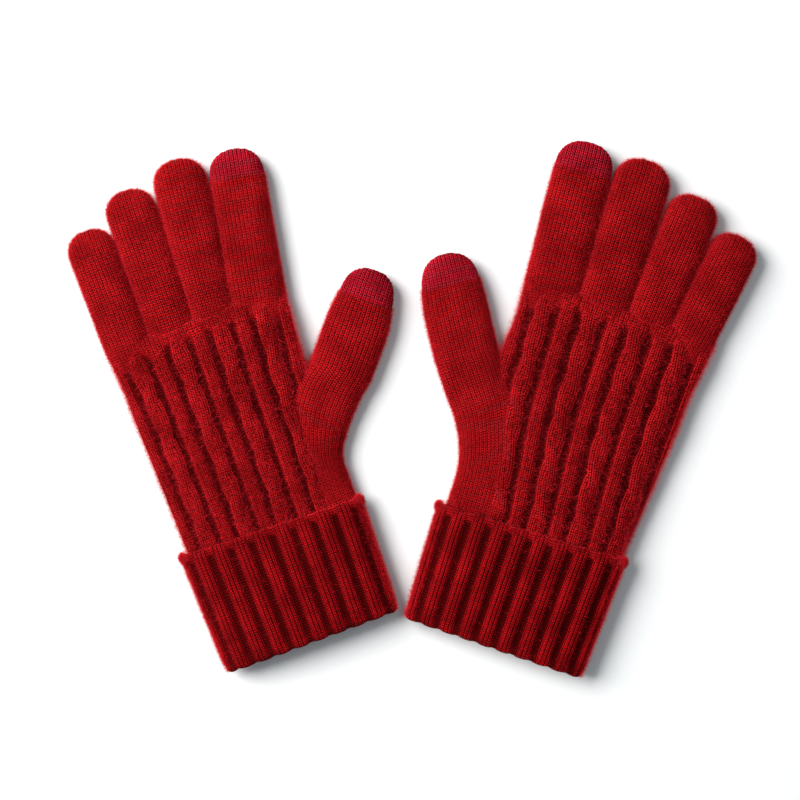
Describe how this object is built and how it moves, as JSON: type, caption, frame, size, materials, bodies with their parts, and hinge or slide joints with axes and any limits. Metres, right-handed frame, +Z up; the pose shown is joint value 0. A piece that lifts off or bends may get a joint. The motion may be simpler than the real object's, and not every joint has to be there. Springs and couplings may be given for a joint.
{
  "type": "pair of knitted gloves",
  "caption": "Pair of hollow knitted gloves with turned-up ribbed cuffs, cable-knit backs and touch-screen fingertips, lying palms down; fingers fold and thumbs swing.",
  "frame": {"origin": "on the surface the gloves lie on, under the middle of the pair", "axes": "+X across the pair from the left-hand glove to the right-hand one, +Y towards the fingertips, +Z up out of the surface"},
  "size_m": [0.3438, 0.2696, 0.0145],
  "materials": {
    "fluffy_wool": "soft brushed wool knit with a short halo",
    "rib_wool": "ribbed wool knit",
    "touch_yarn": "smooth fine knit in conductive yarn"
  },
  "bodies": {
    "left_hand_body": {"left_hand": "fluffy_wool", "left_inner_cuff": "rib_wool"},
    "left_cuff_body": {"left_turned_up_cuff": "rib_wool"},
    "left_index_finger_body": {"left_index_finger": "fluffy_wool", "left_index_touch_tip": "touch_yarn"},
    "left_middle_finger_body": {"left_middle_finger": "fluffy_wool"},
    "left_ring_finger_body": {"left_ring_finger": "fluffy_wool"},
    "left_little_finger_body": {"left_little_finger": "fluffy_wool"},
    "left_thumb_body": {"left_thumb": "fluffy_wool", "left_thumb_touch_tip": "touch_yarn"},
    "right_hand_body": {"right_hand": "fluffy_wool", "right_inner_cuff": "rib_wool"},
    "right_cuff_body": {"right_turned_up_cuff": "rib_wool"},
    "right_index_finger_body": {"right_index_finger": "fluffy_wool", "right_index_touch_tip": "touch_yarn"},
    "right_middle_finger_body": {"right_middle_finger": "fluffy_wool"},
    "right_ring_finger_body": {"right_ring_finger": "fluffy_wool"},
    "right_little_finger_body": {"right_little_finger": "fluffy_wool"},
    "right_thumb_body": {"right_thumb": "fluffy_wool", "right_thumb_touch_tip": "touch_yarn"}
  },
  "joints": [
    {"name": "left_cuff_turns_down", "type": "slide", "parent": "left_hand_body", "child": "left_cuff_body", "axis": [0.3469, -0.9379, 0], "range_m": [0, 0.052]},
    {"name": "left_index_finger_fold", "type": "hinge", "parent": "left_hand_body", "child": "left_index_finger_body", "pos_m": [-0.07901, 0.0654, 0.0055], "axis": [0.9379, 0.3469, 0], "range_deg": [0, 90]},
    {"name": "left_middle_finger_fold", "type": "hinge", "parent": "left_hand_body", "child": "left_middle_finger_body", "pos_m": [-0.10237, 0.05676, 0.0055], "axis": [0.9379, 0.3469, 0], "range_deg": [0, 90]},
    {"name": "left_ring_finger_fold", "type": "hinge", "parent": "left_hand_body", "child": "left_ring_finger_body", "pos_m": [-0.12375, 0.04885, 0.0055], "axis": [0.9379, 0.3469, 0], "range_deg": [0, 90]},
    {"name": "left_little_finger_fold", "type": "hinge", "parent": "left_hand_body", "child": "left_little_finger_body", "pos_m": [-0.14598, 0.04063, 0.0055], "axis": [0.9379, 0.3469, 0], "range_deg": [0, 90]},
    {"name": "left_thumb_swing", "type": "hinge", "parent": "left_hand_body", "child": "left_thumb_body", "pos_m": [-0.03625, 0.01927, 0.0055], "axis": [0, 0, 1], "range_deg": [-20, 24]},
    {"name": "right_glove_slides_apart", "type": "slide", "parent": "left_hand_body", "child": "right_hand_body", "axis": [1, 0, 0], "range_m": [0, 0.08]},
    {"name": "right_cuff_turns_down", "type": "slide", "parent": "right_hand_body", "child": "right_cuff_body", "axis": [-0.3256, -0.9455, 0], "range_m": [0, 0.052]},
    {"name": "right_index_finger_fold", "type": "hinge", "parent": "right_hand_body", "child": "right_index_finger_body", "pos_m": [0.07268, 0.07007, 0.0055], "axis": [0.9455, -0.3256, 0], "range_deg": [0, 90]},
    {"name": "right_middle_finger_fold", "type": "hinge", "parent": "right_hand_body", "child": "right_middle_finger_body", "pos_m": [0.09859, 0.06115, 0.0055], "axis": [0.9455, -0.3256, 0], "range_deg": [0, 90]},
    {"name": "right_ring_finger_fold", "type": "hinge", "parent": "right_hand_body", "child": "right_ring_finger_body", "pos_m": [0.12213, 0.05305, 0.0055], "axis": [0.9455, -0.3256, 0], "range_deg": [0, 90]},
    {"name": "right_little_finger_fold", "type": "hinge", "parent": "right_hand_body", "child": "right_little_finger_body", "pos_m": [0.14454, 0.04533, 0.0055], "axis": [0.9455, -0.3256, 0], "range_deg": [0, 90]},
    {"name": "right_thumb_swing", "type": "hinge", "parent": "right_hand_body", "child": "right_thumb_body", "pos_m": [0.02777, 0.02747, 0.0055], "axis": [0, 0, 1], "range_deg": [-16, 24]}
  ]
}
